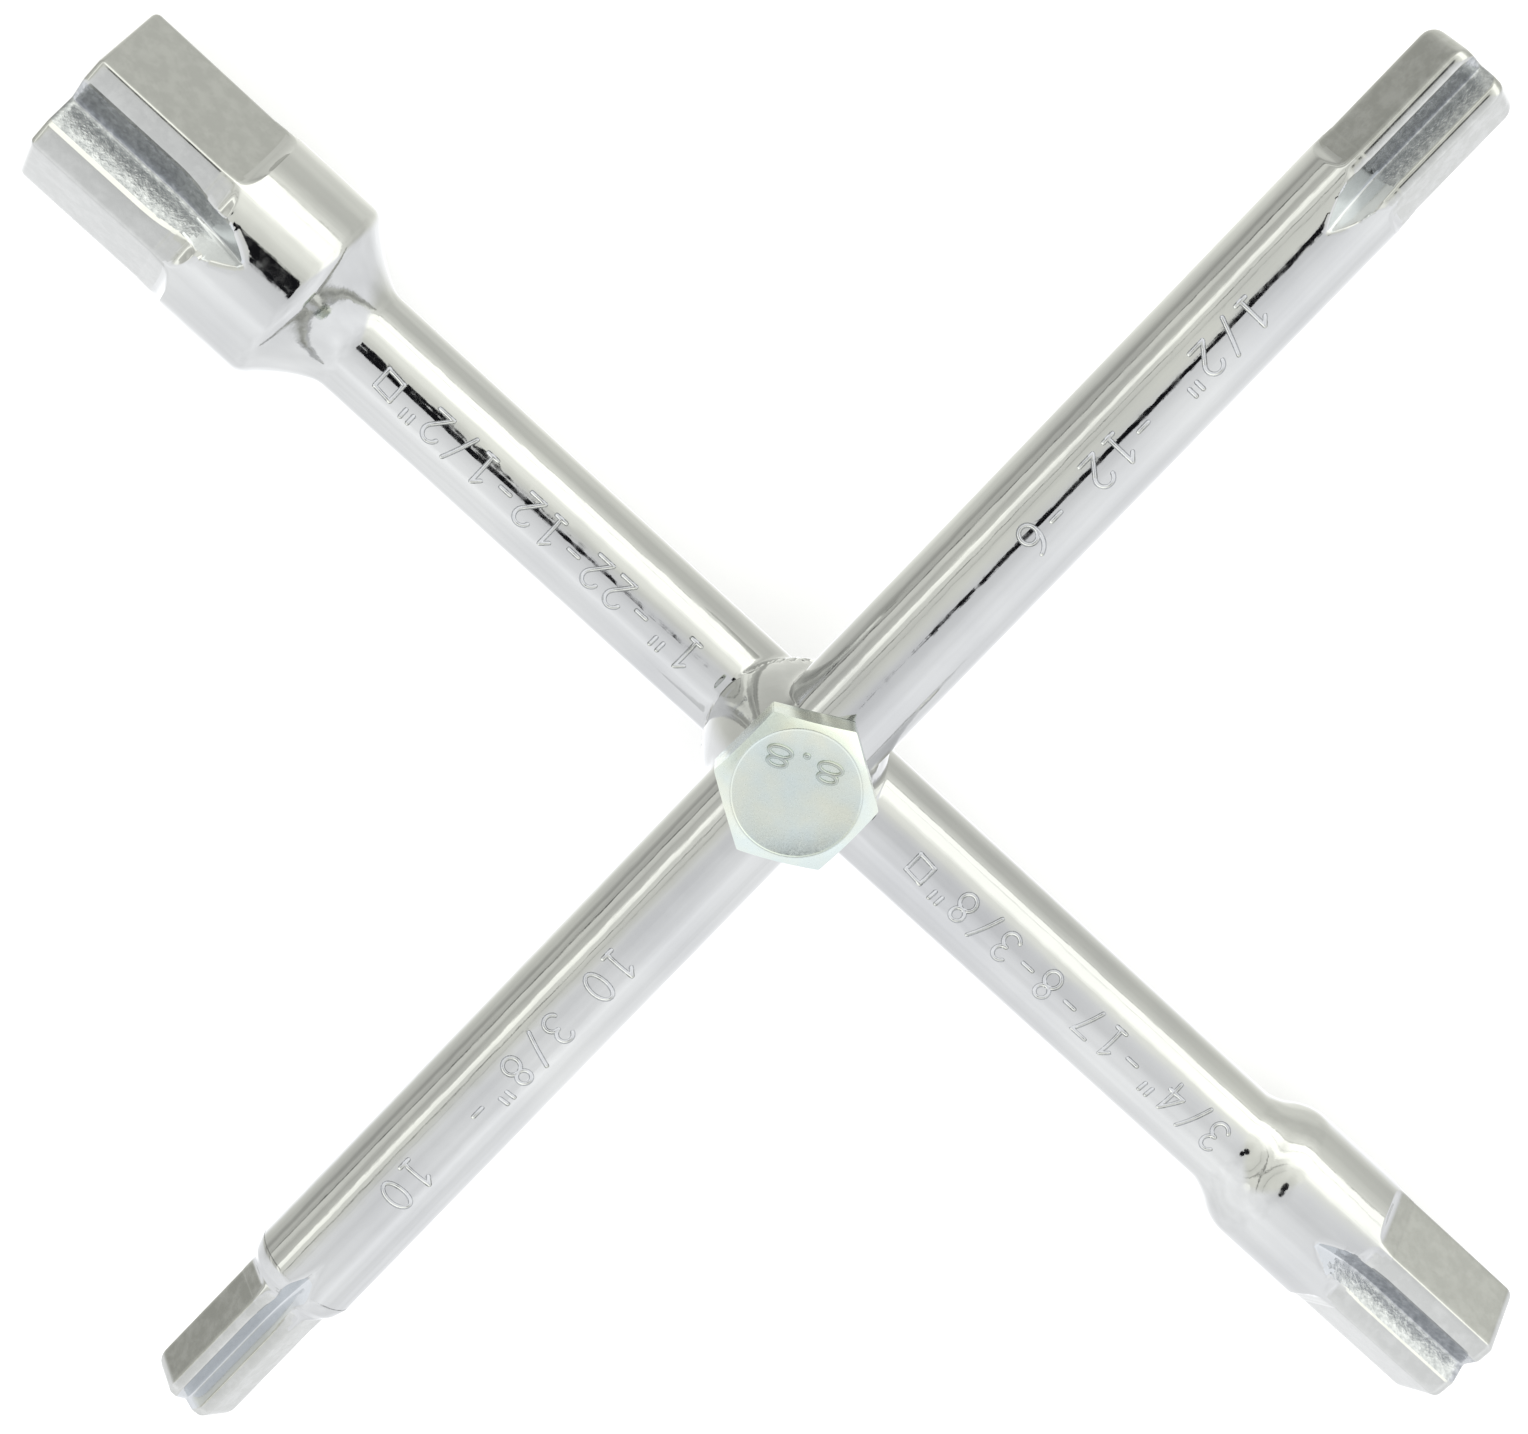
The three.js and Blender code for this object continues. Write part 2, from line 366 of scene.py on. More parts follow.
def groove_edge(arm, x):
    """The angle from the groove's root to its edge at each place along an arm. It is kept away
    from 0 and from the hexagon's corner, so that lines can run on both sides of it."""
    off = np.linspace(0, math.radians(HEXAGON_CORNER - 2), 240)
    theta = math.pi / 2 + math.radians(arm["roll"]) + off
    plain = arm_radius(arm, x[:, None], theta[None, :], grooved=False)
    cut = groove_height(arm, x)[:, None] / np.maximum(np.cos(off) - np.sin(off), 0.02)[None, :]
    inside = (cut < plain).sum(1)
    angle = off[np.minimum(inside, len(off) - 1)]
    return np.clip(angle, *np.radians(EDGE_ANGLES))


def round_angles(edges, roll, pull):
    """The angles of the lines round a bar, one row for each groove edge angle. The corners of the
    hexagon are at multiples of 60 degrees, and the grooves are at 90 and 270."""
    rows = []
    corner = math.radians(HEXAGON_CORNER)
    middles = [math.radians(HEXAGON_CORNER * (1 + 2 * k)) for k in range(6)]
    for edge in edges:
        plain = (gathered(PLAIN, pull) - 0.5)[:-1] * 2 * corner
        outer = gathered(GROOVED, pull)[:-1]
        half = [-corner + outer * (corner - edge), -edge + outer * edge]
        grooved = np.concatenate(half + [outer * edge, edge + outer * (corner - edge)])
        sectors = [plain, grooved, plain] * 2
        rows.append(np.concatenate([s + m for s, m in zip(sectors, middles)]))
    return np.array(rows) + math.radians(roll)


def arm_places(arm):
    """Places of the rings along an arm, closer together where its shape changes."""
    start = arm["flat_start"]
    first = arm["slopes"][0][0] if arm["slopes"] else arm["groove_tip"] - 2
    calm = arm["slopes"][-1][0] if arm["slopes"] else first
    calm = min(calm, start - 4)
    edge = arm["length"] - arm["end_radius"]
    return steps([
        (EYE_REACH, first, 1.6), (first, calm, 0.35), (calm, start - 4, 0.4),
        (start - 4, start + 2.6, 0.17), (start + 2.6, edge, 0.55),
    ])


def scallop_shift(arm, theta):
    """How far before flat_start the scallop meets the round body, at each angle."""
    phi = from_flat(theta, arm["roll"])
    body = body_radius(arm, np.array([arm["flat_start"] - 1.0]))[0]
    height = np.clip(body * np.cos(phi) - arm["flats"] / 2, 0, arm["cutter"])
    return np.sqrt(arm["cutter"] ** 2 - (arm["cutter"] - height) ** 2)


def bore_rings(arm, rim):
    """(x, radius, angle) rows across the end face and into the socket or drilling. A plain face
    has rows of (x, radius), which keep the rim's angles."""
    bore = arm["bore"]
    length = arm["length"]
    if not bore:
        return [(np.full(ROUND, length), rim * share) for share in (0.8, 0.5, 0.2)]
    rows = []
    lines = np.arange(ROUND)
    corners = [BORE_CORNERS[-1] - ROUND, *BORE_CORNERS, ROUND + BORE_CORNERS[0]]
    angle = np.interp(lines, corners, BORE_ANGLES)
    drop = bore["pilot"] / math.tan(math.radians(DRILL_POINT))
    if bore["half"]:
        square = polygon_radius((angle + math.pi / 4) % (math.pi / 2) - math.pi / 4,
                                bore["half"], 60, 4)
        rows += [(length, square + SQUARE_MOUTH), (length - SQUARE_MOUTH, square)]
        deep = bore["depth"] - SQUARE_MOUTH
        rows += [(length - SQUARE_MOUTH - deep * share, square) for share in (0.25, 0.5, 0.75, 1)]
        rows += [(length - bore["depth"] - 0.01, np.full(ROUND, bore["pilot"]))]
    else:
        rows += [(length, np.full(ROUND, bore["pilot"] + DRILL_MOUTH))]
        rows += [(length - DRILL_MOUTH, np.full(ROUND, bore["pilot"]))]
    floor = length - bore["pilot_depth"]
    rows += [(floor, np.full(ROUND, bore["pilot"]))]
    rows += [(floor - drop * 0.9, np.full(ROUND, 0.1 * bore["pilot"]))]
    return [(np.full(ROUND, x), radius, angle) for x, radius in rows]


def outer_rings(arm):
    """The x, radius and angle of the rings along an arm's outside, out to its end face's rim, and
    the groove's edge angle at each of them."""
    places = arm_places(arm)
    edges = groove_edge(arm, places)
    common = round_angles([math.radians(EVEN_EDGE)], 0, 0)
    theta = round_angles(edges, arm["roll"], GATHER)
    settled = smooth((places - EYE_REACH) / SETTLING_LENGTH)[:, None]
    theta = common + (theta - common) * settled
    start = arm["flat_start"]
    pull = np.interp(places, [start - 4, start, start + 1], [0, 1, 0])[:, None]
    x = places[:, None] - scallop_shift(arm, theta) * pull
    radius = arm_radius(arm, x, theta)

    last = arm_radius(arm, np.full((1, ROUND), arm["length"] - 0.1), theta[-1:])[0]
    rounding = arm["end_radius"] * last / last.max()
    for turn in np.linspace(0, math.pi / 2, 8)[1:]:
        inset = last - rounding * (1 - math.cos(turn))
        x = np.vstack([x, x[-1:] * 0 + arm["length"] - arm["end_radius"] * (1 - math.sin(turn))])
        radius = np.vstack([radius, inset[None, :]])
        theta = np.vstack([theta, theta[-1:]])
        edges = np.append(edges, edges[-1])
    return x, radius, theta, edges


def arm_rings(arm):
    """Rings of one arm along +x, from the eye's edge out and into its bore, and the slots of
    their faces."""
    x, radius, theta, edges = outer_rings(arm)
    outside = len(x)
    roll = math.radians(arm["roll"])
    for row in bore_rings(arm, radius[-1]):
        angle = row[2] + roll if len(row) == 3 else theta[-1]
        x = np.vstack([x, row[0][None, :]])
        radius = np.vstack([radius, row[1][None, :]])
        theta = np.vstack([theta, angle[None, :]])
        edges = np.append(edges, edges[-1])

    slots = np.full(x.shape, POLISHED)
    milled = radius < body_radius(arm, x) - MILLED_DEPTH
    slots[milled & (x > arm["flat_start"] - 0.5)] = MILLED
    grooved = np.abs((theta - roll) % math.pi - math.pi / 2) < edges[:, None]
    slots[grooved] = np.where(x[grooved] > arm["groove_tip"], SMOOTH, POLISHED)
    ragged = sum(reach * np.sin(waves * theta) for reach, waves in RAGGED_SKIN)
    slots[grooved & (x > arm["groove_tip"] + arm["polished"] + ragged)] = FORGED
    slots[outside - 1:] = MILLED
    if arm["bore"]:
        slots[outside + 1:] = FORGED
    points = np.stack([x, radius * np.cos(theta), radius * np.sin(theta)], -1)
    return points, slots


# ---- Bars ------------------------------------------------------------------------------------

# Places through an eye: its plain middle, and the sides where it meets the bar.
EYE_MIDDLE = 7
EYE_SIDES = 12.8

# The search for the eye's surface: how far out it looks, and how often it halves that.
SEARCH_RADIUS = 20.0
SEARCH_HALVINGS = 40

HOLE_LINES = 96
HOLE_REACH = 9


def eye_rings(side):
    """Rings through the eye. side is 1 when the mating face is underneath, and -1 when it is
    on top."""
    x = steps([
        (-EYE_REACH, -EYE_SIDES, 0.5), (-EYE_SIDES, -EYE_MIDDLE, 0.2),
        (-EYE_MIDDLE, EYE_MIDDLE, 0.7),
        (EYE_MIDDLE, EYE_SIDES, 0.2), (EYE_SIDES, EYE_REACH, 0.5),
    ])[1:-1, None]
    theta = round_angles([math.radians(EVEN_EDGE)], 0, 0)
    near, far = np.zeros((len(x), ROUND)), np.full((len(x), ROUND), SEARCH_RADIUS)
    for _ in range(SEARCH_HALVINGS):
        radius = (near + far) / 2
        y, z = radius * np.cos(theta), radius * np.sin(theta)
        above = BAR_RADIUS + side * z
        share = np.clip(above / (2 * BAR_RADIUS), 0, 1)
        boss = EYE_SEAT_RADIUS + (1 - share ** EYE_DOME_POWER) * (EYE_RADIUS - EYE_SEAT_RADIUS)
        boss -= EYE_RIM * np.maximum(1 - np.maximum(above, 0) / EYE_RIM, 0) ** 2
        apart = np.hypot(x, y) - boss
        along = radius - BAR_RADIUS
        close = np.maximum(EYE_FILLET - np.abs(apart - along), 0)
        field = np.minimum(apart, along) - close ** 2 / (4 * EYE_FILLET)
        mating = BAR_RADIUS - MATING_GAP * (np.abs(x) < MATING_REACH)
        seat = BAR_RADIUS - SEAT_GAP * (np.abs(x) < SEAT_REACH)
        field = np.maximum(field, np.maximum(-side * z - mating, side * z - seat))
        far = np.where(field > 0, radius, far)
        near = np.where(field > 0, near, radius)
    return np.stack([x + 0 * theta, radius * np.cos(theta), radius * np.sin(theta)], -1)


def bar_piece(name, forward, backward, side, hole_radius, materials):
    """A whole bar along x, as one closed mesh with its pivot hole."""
    ahead, ahead_slots = arm_rings(forward)
    behind, behind_slots = arm_rings(backward)
    mirror = (ROUND // 2 - np.arange(ROUND)) % ROUND
    behind = (behind[:, mirror] * np.array([-1, -1, 1]))[::-1]
    behind_slots = behind_slots[:, (mirror - 1) % ROUND][::-1]
    eye = eye_rings(side)
    rings = np.concatenate([behind, eye, ahead])
    middle_slots = np.full((len(eye) + 1, ROUND), POLISHED)
    slots = np.concatenate([behind_slots[1:], middle_slots, ahead_slots[:-1]])
    piece = ringed(name, rings, materials, slots)
    turn = np.linspace(0, 2 * math.pi, HOLE_LINES, endpoint=False)
    through = circle_rings(turn, [(hole_radius, -HOLE_REACH), (hole_radius, HOLE_REACH)])
    hole = ringed("pivot_hole", through, materials)
    combine(piece, hole, "DIFFERENCE")
    return piece


# ---- Engraved and raised size marks ----------------------------------------------------------

MARK_HEIGHT = 4.1
MARK_RADIUS = 0.31
MARK_ABOVE_CREST = 0.4
TUBE_LINES = 12


def arc(x, y, wide, high, start, end, count=20):
    """Points along an arc of an ellipse, in degrees."""
    turn = np.radians(np.linspace(start, end, count))
    return np.stack([x + wide * np.cos(turn), y + high * np.sin(turn)], -1)


def loop(x, y, wide, high):
    """Points round a whole ellipse. The first isn't repeated."""
    return arc(x, y, wide, high, 0, 345, 24)


# The strokes of each mark, in character heights. A stroke is its points, and whether it closes.
STROKES = {
    "0": [(loop(0.3, 0.5, 0.26, 0.5), True)],
    "1": [([(0.3, 0), (0.3, 1)], False), ([(0.1, 0.78), (0.3, 1)], False),
          ([(0.12, 0), (0.48, 0)], False)],
    "2": [(arc(0.29, 0.72, 0.26, 0.28, 165, -42), False), ([(0.48, 0.53), (0.04, 0)], False),
          ([(0.04, 0), (0.56, 0)], False)],
    "3": [(arc(0.28, 0.75, 0.23, 0.25, 150, -90), False),
          (arc(0.28, 0.25, 0.26, 0.25, 90, -155), False)],
    "4": [([(0.42, 0), (0.42, 1)], False), ([(0.42, 1), (0.04, 0.32)], False),
          ([(0.04, 0.32), (0.58, 0.32)], False)],
    "6": [(loop(0.3, 0.29, 0.26, 0.29), True), (arc(0.58, 0.36, 0.54, 0.64, 105, 180), False)],
    "7": [([(0.04, 1), (0.56, 1)], False), ([(0.56, 1), (0.2, 0)], False)],
    "8": [(loop(0.3, 0.77, 0.21, 0.23), True), (loop(0.3, 0.27, 0.26, 0.27), True)],
    "/": [([(0.08, -0.05), (0.5, 1.05)], False)],
    "\"": [([(0.1, 1), (0.1, 0.7)], False), ([(0.38, 1), (0.38, 0.7)], False)],
    "-": [([(0.08, 0.5), (0.45, 0.5)], False)],
    ".": [(loop(0.3, 0.06, 0.04, 0.06), True)],
    "#": [([(0, 0.2), (0, 0.86)], False), ([(0, 0.86), (0.62, 0.8)], False),
          ([(0.62, 0.8), (0.62, 0.14)], False), ([(0.62, 0.14), (0, 0.2)], False)],
    " ": [],
}


def stroke_tool(points, closed, onto, radius, materials, kind):
    """A round tube along a stroke. onto places (u, v, height) points on the surface, and kind is
    its slot among the materials."""
    points = np.array(points, float)
    if closed:
        tangent = np.roll(points, -1, 0) - np.roll(points, 1, 0)
    else:
        if len(points) == 2:
            reach = np.linalg.norm(points[1] - points[0])
            shares = np.linspace(0, 1, 2 + int(reach))[:, None]
            points = points[0] + (points[1] - points[0]) * shares
        tangent = np.gradient(points, axis=0)
    tangent /= np.linalg.norm(tangent, axis=1)[:, None]
    swell = np.ones(len(points))
    if not closed:
        caps = np.radians([70, 40])
        before = points[:1] - tangent[:1] * radius * np.sin(caps)[:, None]
        after = points[-1:] + tangent[-1:] * radius * np.sin(caps[::-1])[:, None]
        points = np.concatenate([before, points, after])
        tangent = np.concatenate([tangent[[0, 0]], tangent, tangent[[-1, -1]]])
        swell = np.concatenate([np.cos(caps), swell, np.cos(caps[::-1])])
    beside = np.stack([-tangent[:, 1], tangent[:, 0]], -1)
    turn = np.linspace(0, 2 * math.pi, TUBE_LINES, endpoint=False)
    out = radius * swell[:, None] * np.cos(turn)
    flat = points[:, None, :] + beside[:, None, :] * out[..., None]
    height = radius * swell[:, None] * np.sin(turn)
    placed = onto(flat[..., 0], flat[..., 1], height)
    joints = len(placed) if closed else len(placed) - 1
    slots = np.full((joints, placed.shape[1]), kind)
    return ringed("stroke", placed, materials, slots, looped=closed)


def mark(piece, text, start, advance, size, onto, operation, kind, radius=MARK_RADIUS):
    """Engraves or raises a row of marks, whose size is (width, height) of a square character, in
    one of the piece's material slots. Strokes that touch each other go in separate rounds."""
    materials = list(piece.data.materials)
    rounds = {}
    for place, character in enumerate(text):
        for number, (points, closed) in enumerate(STROKES[character]):
            at = np.array(points, float) * size + np.array([start + place * advance, 0])
            tool = stroke_tool(at, closed, onto, radius, materials, kind)
            rounds.setdefault(number, []).append(tool)
    for tools in rounds.values():
        bpy.ops.object.select_all(action="DESELECT")
        for tool in tools:
            tool.select_set(True)
        bpy.context.view_layer.objects.active = tools[0]
        bpy.ops.object.join()
        combine(piece, tools[0], operation)
    drop_slivers(piece)


def crest(turned):
    """Places marks along a bar's crest, a little above its middle line. turned is -1 where they
    read towards -x."""
    def onto(u, v, height):
        angle = (v - MARK_HEIGHT / 2 + MARK_ABOVE_CREST) / BAR_RADIUS
        out = BAR_RADIUS + height
        return np.stack([turned * u, turned * out * np.sin(angle), out * np.cos(angle)], -1)
    return onto


def engrave(piece, text, start, end, turned):
    """Engraves a row of size marks between two places along the reading direction."""
    advance = (end - start) / len(text)
    size = (MARK_HEIGHT, MARK_HEIGHT)
    mark(piece, text, start, advance, size, crest(turned), "DIFFERENCE", ENGRAVED)


# ---- Pivot -----------------------------------------------------------------------------------

BOLT_RADIUS = 5
THREAD_PITCH = 1.5
THREAD_DEPTH = 0.85
THREAD_TOP = PIVOT_Z - 0.5
THREAD_CLEARANCE = 0.03

# The head: its chamfer leaves a circle of HEAD_RING_SHARE of the width across its flats, and
# inside that a rim stands round the sunk face.
HEAD_FLATS = 17
HEAD_CLOCKING = -1.5
HEAD_CHAMFER = 30
HEAD_RING_SHARE = 0.91
HEAD_SOFTNESS = 0.05
RIM_RADIUS = 7.6
RIM_DROP = 0.2
RIM_HEIGHT = 0.09

# The strength mark on the head: where it reads towards, and its middle in its own directions.
GRADE_BEARING = 24
GRADE_CENTRE = (0.3, -3.5)
GRADE_SIZE = (5.3, 2.4)
GRADE_ADVANCE = 3.05
GRADE_STROKE = 0.28


def hex_lines(clocking):
    """Angles round a hexagon, gathered at its corners, with a flat's middle at the clocking."""
    sector = (gathered(16) - 0.5)[:-1] * math.radians(60)
    return np.concatenate([sector + math.radians(60 * k + clocking) for k in range(6)])


def hex_stack(flats, clocking, rows):
    """Rings of a hexagon about z. A row is (share of the way from the circle to the hexagon,
    circle radius, height, drop at the corners), so that chamfers meet the flats in arcs."""
    angle = hex_lines(clocking)
    phi = from_flat(angle + math.radians(30), clocking)
    outline = polygon_radius(phi, flats / 2, 120)
    rings = []
    for share, circle, height, drop in rows:
        radius = np.minimum(outline, circle) * (1 - share) + outline * share
        level = height + drop * (outline - flats / 2)
        rings.append(np.stack([radius * np.cos(angle), radius * np.sin(angle), level], -1))
    return np.array(rings)


def head_rings(low, high):
    """Rings up the bolt's head, with a chamfer round its top."""
    slope = math.tan(math.radians(HEAD_CHAMFER))
    circle = HEAD_FLATS * HEAD_RING_SHARE / 2
    gap = (HEAD_FLATS / 2 - circle) * slope
    soft = HEAD_SOFTNESS
    return hex_stack(HEAD_FLATS, HEAD_CLOCKING, [
        (0, SEAT_REACH - 3, low, 0), (0, HEAD_FLATS * 0.49, low, 0), (1, 0, low + 0.12, 0),
        (1, 0, (low + high) / 2, 0),
        (1, 0, high - gap - 2 * soft, -slope), (1, 0, high - gap + soft, -slope),
        (0, circle + soft, high - soft * slope, 0), (0, circle - soft, high, 0),
    ])


def thread_rings(angle, low, high):
    """Rings up a screw thread, which fades in at its end and out under the shank."""
    z = np.arange(low, high, THREAD_PITCH / 10)[:, None]
    phase = (z / THREAD_PITCH - angle / (2 * math.pi)) % 1
    wave = np.clip(np.abs(phase - 0.5) * 2.6 - 0.15, 0, 1)
    fade = smooth((z - low) / 1.2) * smooth((high - z) / 2)
    chamfer = 0.6 * (1 - smooth((z - low) / 0.9 + 0.25))
    radius = BOLT_RADIUS - THREAD_CLEARANCE - THREAD_DEPTH * wave * fade - chamfer
    height = z + 0 * angle
    return np.stack([radius * np.cos(angle), radius * np.sin(angle), height], -1)


def grade_face(face):
    """Places the strength mark on the bolt's head. It reads along GRADE_BEARING."""
    along = math.radians(GRADE_BEARING)
    base = GRADE_CENTRE[1] - GRADE_SIZE[1] / 2

    def onto(u, v, height):
        x = u * math.cos(along) - (v + base) * math.sin(along)
        y = u * math.sin(along) + (v + base) * math.cos(along)
        return np.stack([x, y, face + height], -1)
    return onto


def bolt_piece(materials):
    """The hexagon bolt, with a thin rim round its top and its strength mark raised inside it."""
    angle = hex_lines(HEAD_CLOCKING)
    low = BOLT_LOW.z
    top = BOLT_HIGH.z - RIM_DROP
    face = top - RIM_HEIGHT
    tip = circle_rings(angle, [(1, low), (3.9, low), (4.1, low + 0.05)])
    thread = thread_rings(angle, low + 0.25, THREAD_TOP)
    shank = circle_rings(angle, [
        (4.97, THREAD_TOP + 0.2), (4.97, SEAT_Z - 0.4), (5.1, SEAT_Z - 0.1), (5.2, SEAT_Z),
    ])
    head = head_rings(SEAT_Z, top)
    rim = circle_rings(angle, [
        (RIM_RADIUS, top), (RIM_RADIUS - 0.06, top - 0.015), (RIM_RADIUS - 0.13, face + 0.015),
        (RIM_RADIUS - 0.22, face), (4, face), (1, face),
    ])
    piece = ringed("hex_bolt", np.concatenate([tip, thread, shank, head, rim]), materials)
    start = GRADE_CENTRE[0] - GRADE_ADVANCE - 0.3 * GRADE_SIZE[0]
    onto = grade_face(face)
    # The raised mark goes in the darker zinc slot, which is painted shade for its outlines.
    mark(piece, "8.8", start, GRADE_ADVANCE, GRADE_SIZE, onto, "UNION", RAISED, GRADE_STROKE)
    return piece


# ---- Materials -------------------------------------------------------------------------------

ROUND_GRAIN = (1, 1, 1)
MILLED_TONE = (0.61, 0.615, 0.6)
ZINC_TONES = ((0.665, 0.735, 0.715), (0.73, 0.755, 0.66))
# The raised strength mark takes a darker zinc: painted shade for the dark outlines round its
# strokes.
RAISED_ZINC_SHADE = 0.68


class Paint:
    """A node material with a few short ways to add and join nodes."""

    def __init__(self, name, **sockets):
        self.material = bpy.data.materials.new(name)
        self.material.use_nodes = True
        self.tree = self.material.node_tree
        self.shader = self.tree.nodes["Principled BSDF"]
        for socket, value in sockets.items():
            self.shader.inputs[socket.replace("_", " ")].default_value = value

    def node(self, kind, **settings):
        """A new node. A setting is a link or a value for an input, or a property of the node."""
        made = self.tree.nodes.new(kind)
        for key, value in settings.items():
            if isinstance(value, bpy.types.NodeSocket):
                self.tree.links.new(value, made.inputs[key.replace("_", " ")])
            elif hasattr(made, key) and key not in made.inputs:
                setattr(made, key, value)
            else:
                made.inputs[key.replace("_", " ")].default_value = value
        return made

    def place(self, scale):
        """The object's own coordinates, in metres, stretched by a scale for each axis."""
        source = self.node("ShaderNodeTexCoord")
        mapping = self.node("ShaderNodeMapping", Vector=source.outputs["Object"], Scale=scale)
        return mapping.outputs["Vector"]

    def noise(self, scale, detail=2.0, along=ROUND_GRAIN, rough=0.5):
        """Noise, stretched by a scale for each axis."""
        made = self.node("ShaderNodeTexNoise", Vector=self.place(along), Scale=scale,
                         Detail=detail, Roughness=rough)
        return made.outputs["Fac"]

    def ramp(self, value, low, high, start, end):
        """A value that runs from start to end while another runs from low to high."""
        made = self.node("ShaderNodeMapRange", Value=value, From_Min=low, From_Max=high,
                         To_Min=start, To_Max=end)
        return made.outputs["Result"]

    def blend(self, value, first, second):
        """A mix of two colours."""
        made = self.node("ShaderNodeMix", data_type="RGBA")
        self.tree.links.new(value, made.inputs[0])
        made.inputs[6].default_value = (*first, 1)
        made.inputs[7].default_value = (*second, 1)
        return made.outputs[2]

    def bump(self, heights):
        """Bumps from (height value, depth in millimetres) pairs."""
        normal = None
        for value, depth in heights:
            made = self.node("ShaderNodeBump", Height=value, Distance=depth * MM, Strength=1.0)
            if normal:
                self.tree.links.new(normal, made.inputs["Normal"])
            normal = made.outputs["Normal"]
        self.tree.links.new(normal, self.shader.inputs["Normal"])

    def link(self, output, socket):
        self.tree.links.new(output, self.shader.inputs[socket])


def chrome(name, along):
    """Bright chrome: polishing lines that run along the bar, soft waves, and small scuffs."""
    paint = Paint(name, Metallic=1.0)
    lines = paint.noise(700, 4, along, 0.6)
    grains = paint.noise(2400, 3, along, 0.6)
    waves = paint.noise(60, 3, ROUND_GRAIN, 0.55)
    dents = paint.noise(190, 2)
    scuffs = paint.noise(420, 5, ROUND_GRAIN, 0.7)
    cloud = paint.ramp(paint.noise(35, 3), 0.32, 0.68, 0, 1)
    paint.link(paint.blend(cloud, (0.555, 0.56, 0.565), (0.65, 0.655, 0.645)), "Base Color")
    paint.link(paint.ramp(scuffs, 0.45, 0.72, 0.045, 0.17), "Roughness")
    paint.bump([(waves, 0.09), (dents, 0.06), (lines, 0.012), (grains, 0.003), (scuffs, 0.005)])
    return paint.material


def milled_chrome(name, across, dull):
    """Chrome over milled flats: greyer and more satin, with fine cutter lines across the bar and
    duller patches."""
    paint = Paint(name, Metallic=1.0)
    cutter = paint.noise(1500, 3, across, 0.6)
    mottle = paint.noise(520, 4, ROUND_GRAIN, 0.6)
    waves = paint.noise(90, 2)
    paint.link(paint.blend(paint.ramp(mottle, 0.42, 0.62, 0, 1), dull, MILLED_TONE), "Base Color")
    paint.link(paint.ramp(mottle, 0.3, 0.7, 0.1, 0.2), "Roughness")
    paint.bump([(waves, 0.015), (mottle, 0.004), (cutter, 0.003)])
    return paint.material


def smooth_chrome():
    """Chrome over the smooth sides of the grooves: slightly blue, with a faint grain."""
    paint = Paint("smooth_chrome", Metallic=1.0)
    grain = paint.noise(1800, 2)
    paint.link(paint.blend(grain, (0.585, 0.605, 0.625), (0.665, 0.685, 0.7)), "Base Color")
    paint.link(paint.ramp(grain, 0.3, 0.7, 0.09, 0.15), "Roughness")
    paint.bump([(grain, 0.002)])
    return paint.material


def forged_chrome():
    """Chrome over the rough skin that the forging die leaves in the grooves."""
    paint = Paint("forged_chrome", Metallic=1.0)
    grain = paint.noise(3200, 4, ROUND_GRAIN, 0.65)
    pits = paint.noise(1300, 3)
    pitted = paint.ramp(pits, 0.35, 0.65, 0, 1)
    paint.link(paint.blend(pitted, (0.4, 0.415, 0.43), (0.58, 0.595, 0.61)), "Base Color")
    paint.link(paint.ramp(grain, 0.35, 0.7, 0.1, 0.26), "Roughness")
    paint.bump([(pits, 0.05), (grain, 0.04)])
    return paint.material


def engraved_chrome():
    """Chrome in the stamped marks, which the polishing doesn't reach."""
    paint = Paint("engraved_chrome", Metallic=1.0)
    grain = paint.noise(2200, 3)
    paint.link(paint.blend(grain, (0.56, 0.57, 0.575), (0.72, 0.725, 0.73)), "Base Color")
    paint.link(paint.ramp(grain, 0.3, 0.7, 0.08, 0.2), "Roughness")
    paint.bump([(grain, 0.01)])
    return paint.material


def zinc(name, share=1.0):
    """Zinc plating: satin, blue-green with a yellowish cast in patches. share is its brightness,
    and below 1 is painted shade.
    """
    paint = Paint(name, Metallic=1.0)
    patches = paint.noise(210, 3)
    grain = paint.noise(2600, 3)
    cool, warm = [tuple(level * share for level in color) for color in ZINC_TONES]
    paint.link(paint.blend(paint.ramp(patches, 0.36, 0.68, 0, 1), cool, warm), "Base Color")
    paint.link(paint.ramp(grain, 0.3, 0.7, 0.16, 0.3), "Roughness")
    paint.bump([(patches, 0.03), (grain, 0.006)])
    return paint.material


# ---- Studio ----------------------------------------------------------------------------------

# The tent's brightness by elevation in degrees. BRIGHT is the side away from LEAN. The grey side
# is NEAR towards TURN and FAR away from it. Each side has its own tint.
LEAN = (0.707, -0.707)
TURN = (0.707, 0.707)
BRIGHT = [
    (-90, 1.4), (-62, 1.35), (-46, 1.08), (-27, 1.1), (-10, 1.13), (5, 1.16), (22, 1.21),
    (33, 1.25), (45, 1.14), (56, 1.1), (66, 1.02), (78, 0.93), (90, 0.9),
]
FAR = [
    (-90, 1.2), (-60, 1.0), (-46, 0.9), (-26, 0.73), (-8, 0.77), (-1, 0.9), (7, 1.02), (11, 1.15),
    (11.5, 0.7), (12.3, 0.7), (13, 1.7), (24, 1.75), (24.5, 1.3), (25.2, 1.3), (25.7, 1.75),
    (44, 1.7), (52, 1.22), (63, 1.1), (73, 0.93), (90, 0.9),
]
